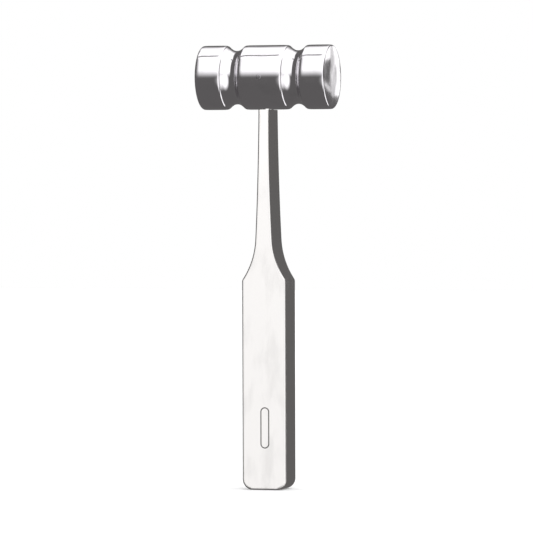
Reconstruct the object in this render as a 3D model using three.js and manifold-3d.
// An all-steel bone mallet: a turned cylindrical head with two grooves round it, on a flat bar handle
// whose grip narrows at a curved shoulder into a thin neck. The neck ends in a tenon that goes up into a
// mortise in the head, and a dowel pin through head and tenon locks the two together.
//
// Millimetres, +Z up the handle, +X along the head from one striking face to the other.
// The origin is the middle of the flat butt end of the grip, which the mallet can be stood on.

import * as THREE from "three";
import { mergeVertices } from "three/addons/utils/BufferGeometryUtils.js";
import Module from "manifold-3d";

const wasm = await Module();
wasm.setup();

// ---------------------------------------------------------------- driving dimensions

const OVERALL_HEIGHT = 186; // butt end to the top of the head

const HEAD_DIAMETER = 27;
const HEAD_LENGTH = 57; // striking face to striking face
const END_LAND = 10.3; // length of the plain cylinder behind each striking face
const GROOVE_WIDTH = 9.6;
const GROOVE_DEPTH = 2.3;
const GROOVE_BOTTOM_RADIUS = 4.5;
const LAND_EDGE_BREAK = 0.25; // chamfer where a land meets a groove
const FACE_FLAT_RADIUS = 4; // flat spot in the middle of each striking face
const FACE_CROWN = 0.4; // how far a striking face falls away from its middle to its rim
const FACE_RIM_RADIUS = 0.6;

const GRIP_WIDTH = 19; // along X
const GRIP_DEPTH = 14.4; // along Y
const GRIP_HEIGHT = 87.7; // butt end to the corner of the shoulder
const BUTT_CORNER_RADIUS = 4.4;
const HANDLE_EDGE_ROUND = 0.6;
const SHOULDER_RADIUS = 32; // concave arc from the shoulder's corner up into the neck
const FLARE_RADIUS = 1080; // the long arc that widens the neck on its way down
const NECK_WIDTH = 4.6; // along X, where the neck meets the head
const NECK_DEPTH = 13.2; // along Y, where the neck meets the head
const NECK_TAPER_LENGTH = 36; // how far below the head the neck starts to lose depth

const TENON_SIDE_SHOULDER = 0.4; // ledge of the neck left on each X side of the tenon
const TENON_END_SHOULDER = 3.6; // ledge of the neck left on each Y side of the tenon
const TENON_LENGTH = 19; // above the underside of the head
const PIN_DIAMETER = 2;

const SEAT_GAP = 0.05; // between the neck's flat end and the head
const TENON_GAP = 0.05; // round the tenon in its mortise
const MORTISE_END_GAP = 0.3; // above the tenon's tip
const PIN_GAP = 0.04; // round the pin in its holes

const CUT_MARGIN = 2; // how far a cutting solid runs past what it cuts
const MERGE_DISTANCE = 1e-4; // vertices closer than this are one

// How finely round shapes are divided.
const HEAD_SEGMENTS = 64;
const PIN_SEGMENTS = 20;
const CURVE_SEGMENTS = 10;
const BEVEL_SEGMENTS = 2;
const GROOVE_STEPS = 6;
const RIM_STEPS = 3;
const CROWN_STEPS = 3;
const SHOULDER_STEPS = 12;
const FLARE_STEPS = 8;
const TAPER_STEPS = 6;

const headRadius = HEAD_DIAMETER / 2;
const headAxisHeight = OVERALL_HEIGHT - headRadius;
const headUnderside = headAxisHeight - headRadius;
const tenonWidth = NECK_WIDTH - 2 * TENON_SIDE_SHOULDER;
const tenonDepth = NECK_DEPTH - 2 * TENON_END_SHOULDER;
const tenonTop = headUnderside + TENON_LENGTH;
const neckTop = headUnderside - SEAT_GAP;

// ---------------------------------------------------------------- materials

const mirrorSteel = new THREE.MeshStandardMaterial({ color: 0xdcdde0, metalness: 1, roughness: 0.06 });
const polishedSteel = new THREE.MeshStandardMaterial({ color: 0xe2e2e4, metalness: 1, roughness: 0.16 });
const dowelSteel = new THREE.MeshStandardMaterial({ color: 0xcfd0d3, metalness: 1, roughness: 0.12 });

// ---------------------------------------------------------------- from geometry to solid and back

// A closed three.js geometry as a manifold-3d solid, ready to be cut or joined.
function solidOf(geometry) {
  const bare = geometry.clone();
  bare.deleteAttribute("normal");
  bare.deleteAttribute("uv");
  const merged = mergeVertices(bare, MERGE_DISTANCE);
  return new wasm.Manifold(
    new wasm.Mesh({
      numProp: 3,
      vertProperties: merged.attributes.position.array,
      triVerts: new Uint32Array(merged.index.array),
    }),
  );
}

// A manifold-3d solid as a named three.js mesh.
function meshOf(name, solid, material) {
  const made = solid.getMesh();
  const geometry = new THREE.BufferGeometry();
  geometry.setAttribute("position", new THREE.BufferAttribute(made.vertProperties, 3));
  geometry.setIndex(new THREE.BufferAttribute(made.triVerts, 1));
  geometry.computeVertexNormals();
  const mesh = new THREE.Mesh(geometry, material);
  mesh.name = name;
  return mesh;
}

// ---------------------------------------------------------------- outlines and bars

// Points of an arc about a centre, from one angle to another.
function arcPoints(centreX, centreY, radius, from, to, steps) {
  const points = [];
  for (let i = 0; i <= steps; i++) {
    const angle = from + ((to - from) * i) / steps;
    points.push(new THREE.Vector2(centreX + radius * Math.cos(angle), centreY + radius * Math.sin(angle)));
  }
  return points;
}

// An outline drawn in X and Z, as a plate of the given depth centred on Y = 0, with rounded edges.
function plateAlongY(outline, depth, round) {
  const geometry = new THREE.ExtrudeGeometry(outline, {
    depth: depth - 2 * round,
    bevelThickness: round,
    bevelSize: round,
    bevelOffset: -round,
    bevelSegments: BEVEL_SEGMENTS,
  });
  return geometry.rotateX(Math.PI / 2).translate(0, depth / 2 - round, 0);
}

// An outline drawn in Y and Z, as a plate of the given width centred on X = 0.
function plateAlongX(outline, width) {
  const geometry = new THREE.ExtrudeGeometry(outline, { depth: width, bevelEnabled: false });
  return geometry.rotateX(Math.PI / 2).rotateZ(Math.PI / 2).translate(-width / 2, 0, 0);
}

// A bar with round ends in plan, standing on its end from one height to another.
function obroundBar(width, depth, bottom, top) {
  const radius = width / 2;
  const straight = depth / 2 - radius;
  const plan = new THREE.Shape();
  plan.absarc(0, straight, radius, 0, Math.PI);
  plan.absarc(0, -straight, radius, Math.PI, 2 * Math.PI);
  const geometry = new THREE.ExtrudeGeometry(plan, {
    depth: top - bottom,
    bevelEnabled: false,
    curveSegments: CURVE_SEGMENTS,
  });
  return geometry.translate(0, 0, bottom);
}

// ---------------------------------------------------------------- head

// The groove's walls lean at the angle that brings them tangent to its round bottom.
function grooveWallAngle() {
  const half = GROOVE_WIDTH / 2;
  const rise = GROOVE_BOTTOM_RADIUS - GROOVE_DEPTH;
  return Math.asin(GROOVE_BOTTOM_RADIUS / Math.hypot(half, rise)) - Math.atan2(rise, half);
}

// One half of the head's outline, as (radius, distance along the head), from its middle to a face.
function halfHeadProfile() {
  const faceEnd = HEAD_LENGTH / 2;
  const grooveOuter = faceEnd - END_LAND;
  const grooveInner = grooveOuter - GROOVE_WIDTH;
  const grooveMiddle = grooveOuter - GROOVE_WIDTH / 2;
  const wall = grooveWallAngle();
  const alongWall = LAND_EDGE_BREAK * Math.cos(wall);
  const intoWall = LAND_EDGE_BREAK * Math.sin(wall);
  const rimStart = headRadius - FACE_RIM_RADIUS;
  const crownSpan = rimStart - FACE_FLAT_RADIUS;
  const crownRadius = (crownSpan ** 2 + FACE_CROWN ** 2) / (2 * FACE_CROWN);
  const crownAngle = Math.asin(crownSpan / crownRadius);
  return [
    new THREE.Vector2(headRadius, grooveInner - LAND_EDGE_BREAK),
    new THREE.Vector2(headRadius - intoWall, grooveInner + alongWall),
    ...arcPoints(
      headRadius - GROOVE_DEPTH + GROOVE_BOTTOM_RADIUS,
      grooveMiddle,
      GROOVE_BOTTOM_RADIUS,
      Math.PI + wall,
      Math.PI - wall,
      GROOVE_STEPS,
    ),
    new THREE.Vector2(headRadius - intoWall, grooveOuter - alongWall),
    new THREE.Vector2(headRadius, grooveOuter + LAND_EDGE_BREAK),
    ...arcPoints(
      rimStart,
      faceEnd - FACE_CROWN - FACE_RIM_RADIUS,
      FACE_RIM_RADIUS,
      0,
      Math.PI / 2 - crownAngle,
      RIM_STEPS,
    ),
    ...arcPoints(
      FACE_FLAT_RADIUS,
      faceEnd - crownRadius,
      crownRadius,
      Math.PI / 2 - crownAngle,
      Math.PI / 2,
      CROWN_STEPS,
    ).slice(1),
    new THREE.Vector2(0, faceEnd),
  ];
}

function headBlank() {
  const half = halfHeadProfile();
  const mirrored = half.map((p) => new THREE.Vector2(p.x, -p.y)).reverse();
  const lathe = new THREE.LatheGeometry([...mirrored, ...half], HEAD_SEGMENTS);
  return lathe.rotateZ(-Math.PI / 2).translate(0, 0, headAxisHeight);
}

// A cylinder along the head's axis with the same facets as the head, but its own radius.
function cylinderOnHeadAxis(radius, length) {
  const lathe = new THREE.LatheGeometry(
    [
      new THREE.Vector2(0, -length / 2),
      new THREE.Vector2(radius, -length / 2),
      new THREE.Vector2(radius, length / 2),
      new THREE.Vector2(0, length / 2),
    ],
    HEAD_SEGMENTS,
  );
  return lathe.rotateZ(-Math.PI / 2).translate(0, 0, headAxisHeight);
}

// A round bar from front to back through the middle of the head.
function crossBar(diameter) {
  const length = HEAD_DIAMETER + 2 * CUT_MARGIN;
  return new THREE.CylinderGeometry(diameter / 2, diameter / 2, length, PIN_SEGMENTS).translate(
    0,
    0,
    headAxisHeight,
  );
}

const pinHole = solidOf(crossBar(PIN_DIAMETER + 2 * PIN_GAP));

function head() {
  const mortise = obroundBar(
    tenonWidth + 2 * TENON_GAP,
    tenonDepth + 2 * TENON_GAP,
    headUnderside - CUT_MARGIN,
    tenonTop + MORTISE_END_GAP,
  );
  return solidOf(headBlank()).subtract(solidOf(mortise)).subtract(pinHole);
}

// ---------------------------------------------------------------- handle

function angleOf(vector) {
  return Math.atan2(vector.y, vector.x);
}

// Each side of the neck is two arcs that touch: the long flare that starts at the head, and the tight
// shoulder arc that ends at the shoulder's corner. Both have their centres outside the handle. The
// shoulder's centre is one shoulder radius from the corner and the difference of the two radii from the
// flare's centre, so it is where two circles cross.
function neckArcs() {
  const corner = new THREE.Vector2(GRIP_WIDTH / 2, GRIP_HEIGHT);
  const flareCentre = new THREE.Vector2(NECK_WIDTH / 2 + FLARE_RADIUS, neckTop);
  const toCorner = corner.clone().sub(flareCentre);
  const distance = toCorner.length();
  const centreDistance = FLARE_RADIUS - SHOULDER_RADIUS;
  const along = (distance ** 2 + centreDistance ** 2 - SHOULDER_RADIUS ** 2) / (2 * distance);
  const across = Math.sqrt(centreDistance ** 2 - along ** 2);
  const unit = toCorner.divideScalar(distance);
  const shoulderCentre = new THREE.Vector2(
    flareCentre.x + unit.x * along + unit.y * across,
    flareCentre.y + unit.y * along - unit.x * across,
  );
  return {
    flareCentre,
    shoulderCentre,
    cornerAngle: Math.PI + angleOf(shoulderCentre.clone().sub(corner)),
    touchAngle: Math.PI + angleOf(flareCentre.clone().sub(shoulderCentre)),
  };
}

// The right side of the handle as seen from the front. It runs on past the end of the neck, up to the
// head's axis, so that the rounding of the plate's own edges stays clear of the neck's crisp end.
function rightSide() {
  const { flareCentre, shoulderCentre, cornerAngle, touchAngle } = neckArcs();
  return [
    ...arcPoints(
      GRIP_WIDTH / 2 - BUTT_CORNER_RADIUS,
      BUTT_CORNER_RADIUS,
      BUTT_CORNER_RADIUS,
      -Math.PI / 2,
      0,
      CURVE_SEGMENTS,
    ),
    ...arcPoints(
      shoulderCentre.x,
      shoulderCentre.y,
      SHOULDER_RADIUS,
      cornerAngle,
      touchAngle,
      SHOULDER_STEPS,
    ),
    ...arcPoints(flareCentre.x, flareCentre.y, FLARE_RADIUS, touchAngle, Math.PI, FLARE_STEPS).slice(1),
    new THREE.Vector2(NECK_WIDTH / 2, headAxisHeight),
  ];
}

function frontOutline() {
  const right = rightSide();
  const left = right.map((p) => new THREE.Vector2(-p.x, p.y)).reverse();
  return new THREE.Shape([...right, ...left]);
}

// Seen from the side the bar is straight, and loses a little depth on an arc just below the head.
function sideOutline() {
  const loss = (GRIP_DEPTH - NECK_DEPTH) / 2;
  const taperRadius = (NECK_TAPER_LENGTH ** 2 + loss ** 2) / (2 * loss);
  const taperStart = neckTop - NECK_TAPER_LENGTH;
  const taperAngle = Math.asin(NECK_TAPER_LENGTH / taperRadius);
  const front = [
    new THREE.Vector2(GRIP_DEPTH / 2 + CUT_MARGIN, -CUT_MARGIN),
    new THREE.Vector2(GRIP_DEPTH / 2 + CUT_MARGIN, taperStart),
    ...arcPoints(GRIP_DEPTH / 2 - taperRadius, taperStart, taperRadius, 0, taperAngle, TAPER_STEPS),
    new THREE.Vector2(NECK_DEPTH / 2, headAxisHeight + CUT_MARGIN),
  ];
  const back = front.map((p) => new THREE.Vector2(-p.x, p.y)).reverse();
  return new THREE.Shape([...front, ...back]);
}

function handle() {
  const bar = solidOf(plateAlongY(frontOutline(), GRIP_DEPTH, HANDLE_EDGE_ROUND));
  const sides = solidOf(plateAlongX(sideOutline(), GRIP_WIDTH + 2 * CUT_MARGIN));
  const tenon = solidOf(obroundBar(tenonWidth, tenonDepth, headUnderside - CUT_MARGIN, tenonTop));
  return bar.intersect(sides).trimByPlane([0, 0, -1], -neckTop).add(tenon).subtract(pinHole);
}

// ---------------------------------------------------------------- dowel pin

// Both ends are ground flush with the head, so they follow its curve.
function dowelPin() {
  return solidOf(crossBar(PIN_DIAMETER)).intersect(solidOf(cylinderOnHeadAxis(headRadius, GRIP_WIDTH)));
}

// ---------------------------------------------------------------- the mallet

const mallet = new THREE.Group();
mallet.add(meshOf("head", head(), mirrorSteel));
mallet.add(meshOf("handle", handle(), polishedSteel));
mallet.add(meshOf("dowel_pin", dowelPin(), dowelSteel));

export default mallet;
